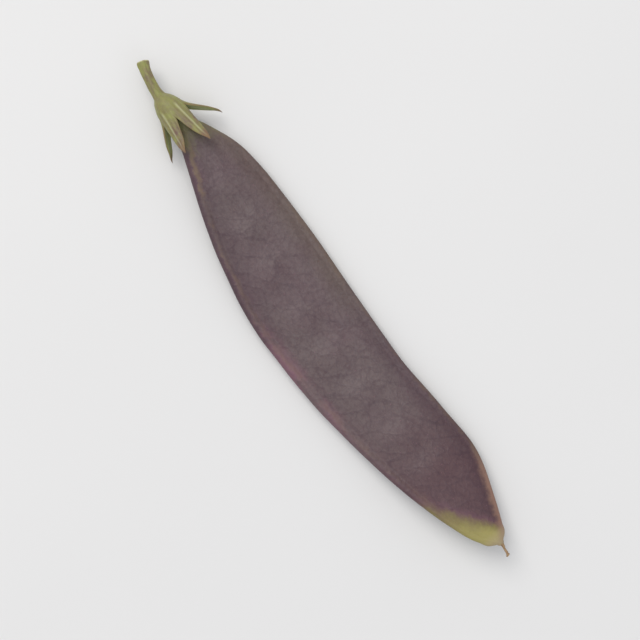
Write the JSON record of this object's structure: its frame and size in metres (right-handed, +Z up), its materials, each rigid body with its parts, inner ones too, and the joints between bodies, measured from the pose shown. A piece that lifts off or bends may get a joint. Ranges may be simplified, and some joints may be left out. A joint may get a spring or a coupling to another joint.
{
  "type": "snow pea pod",
  "caption": "Flat purple snow pea pod lying on one valve, with corded seams, low swellings over the peas, a green calyx with a cut stalk and a dried style at the tip.",
  "frame": {"origin": "bottom centre of the box round the whole part, on the surface that the pod lies on", "axes": "+X runs from the cut stalk to the tip, +Y across the pod from the seed seam to the back seam, +Z up through the upper valve"},
  "size_m": [0.1042, 0.0208, 0.0077],
  "materials": {
    "pod_skin": "dusky mauve-purple plant skin with a thin waxy bloom, yellow-green along the seed seam near the tip",
    "calyx_green": "dull yellow-green plant tissue, flushed with purple",
    "style_tan": "dried, tan to brown"
  },
  "bodies": {
    "root": {"pod": "pod_skin", "calyx": "calyx_green", "style": "style_tan"}
  },
  "joints": []
}
